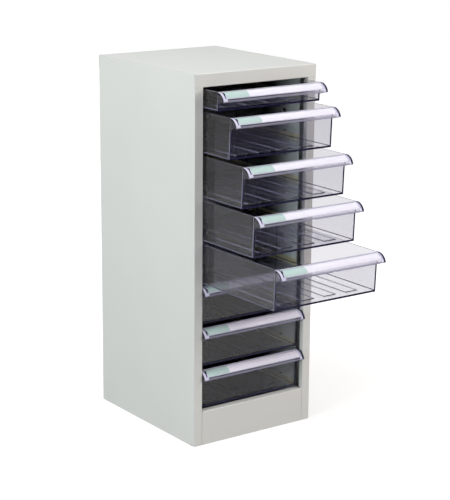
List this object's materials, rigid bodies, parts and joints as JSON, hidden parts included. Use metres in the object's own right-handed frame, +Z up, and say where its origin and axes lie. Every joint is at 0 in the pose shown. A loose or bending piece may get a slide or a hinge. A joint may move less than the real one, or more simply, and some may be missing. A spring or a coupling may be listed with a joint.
{
  "type": "metal drawer unit",
  "caption": "Free-standing pale grey steel cabinet with a stack of clear sliding document trays, each with a curved handle lip and a blank label strip.",
  "frame": {"origin": "centre of the cabinet's footprint, on the floor", "axes": "+Z up, -Y the front that the drawers open to, +X to the right of someone facing the front"},
  "size_m": [0.278, 0.5676, 0.71],
  "materials": {
    "powder_coat": "satin powder coat, pale warm grey",
    "liner_coat": "satin paint, grey",
    "runner_zinc": "yellow passivated zinc",
    "clear_styrene": "clear, faint blue violet tint",
    "clear_cover": "clear",
    "label_paper": "plain card, the left quarter mint green"
  },
  "bodies": {
    "cabinet": {"left_side_panel": "powder_coat", "right_side_panel": "powder_coat", "top_panel": "powder_coat", "back_panel": "powder_coat", "bottom_pan": "powder_coat", "kick_panel": "powder_coat", "left_liner": "liner_coat", "right_liner": "liner_coat", "top_guide_left": "runner_zinc", "top_guide_right": "runner_zinc", "runner_left_1": "runner_zinc", "runner_left_2": "runner_zinc", "runner_left_3": "runner_zinc", "runner_left_4": "runner_zinc", "runner_left_5": "runner_zinc", "runner_left_6": "runner_zinc", "runner_left_7": "runner_zinc", "runner_left_8": "runner_zinc", "runner_right_1": "runner_zinc", "runner_right_2": "runner_zinc", "runner_right_3": "runner_zinc", "runner_right_4": "runner_zinc", "runner_right_5": "runner_zinc", "runner_right_6": "runner_zinc", "runner_right_7": "runner_zinc", "runner_right_8": "runner_zinc"},
    "drawer_1": {"tray_1": "clear_styrene", "label_card_1": "label_paper", "label_cover_1": "clear_cover"},
    "drawer_2": {"tray_2": "clear_styrene", "label_card_2": "label_paper", "label_cover_2": "clear_cover"},
    "drawer_3": {"tray_3": "clear_styrene", "label_card_3": "label_paper", "label_cover_3": "clear_cover"},
    "drawer_4": {"tray_4": "clear_styrene", "label_card_4": "label_paper", "label_cover_4": "clear_cover"},
    "drawer_5": {"tray_5": "clear_styrene", "label_card_5": "label_paper", "label_cover_5": "clear_cover"},
    "drawer_6": {"tray_6": "clear_styrene", "label_card_6": "label_paper", "label_cover_6": "clear_cover"},
    "drawer_7": {"tray_7": "clear_styrene", "label_card_7": "label_paper", "label_cover_7": "clear_cover"},
    "drawer_8": {"tray_8": "clear_styrene", "label_card_8": "label_paper", "label_cover_8": "clear_cover"}
  },
  "joints": [
    {"name": "drawer_1_slide", "type": "slide", "parent": "cabinet", "child": "drawer_1", "axis": [0, -1, 0], "range_m": [-0.054, 0.196]},
    {"name": "drawer_2_slide", "type": "slide", "parent": "cabinet", "child": "drawer_2", "axis": [0, -1, 0], "range_m": [-0.093, 0.157]},
    {"name": "drawer_3_slide", "type": "slide", "parent": "cabinet", "child": "drawer_3", "axis": [0, -1, 0], "range_m": [-0.132, 0.118]},
    {"name": "drawer_4_slide", "type": "slide", "parent": "cabinet", "child": "drawer_4", "axis": [0, -1, 0], "range_m": [-0.166, 0.084]},
    {"name": "drawer_5_slide", "type": "slide", "parent": "cabinet", "child": "drawer_5", "axis": [0, -1, 0], "range_m": [-0.23, 0.02]},
    {"name": "drawer_6_slide", "type": "slide", "parent": "cabinet", "child": "drawer_6", "axis": [0, -1, 0], "range_m": [0, 0.25]},
    {"name": "drawer_7_slide", "type": "slide", "parent": "cabinet", "child": "drawer_7", "axis": [0, -1, 0], "range_m": [0, 0.25]},
    {"name": "drawer_8_slide", "type": "slide", "parent": "cabinet", "child": "drawer_8", "axis": [0, -1, 0], "range_m": [0, 0.25]}
  ]
}
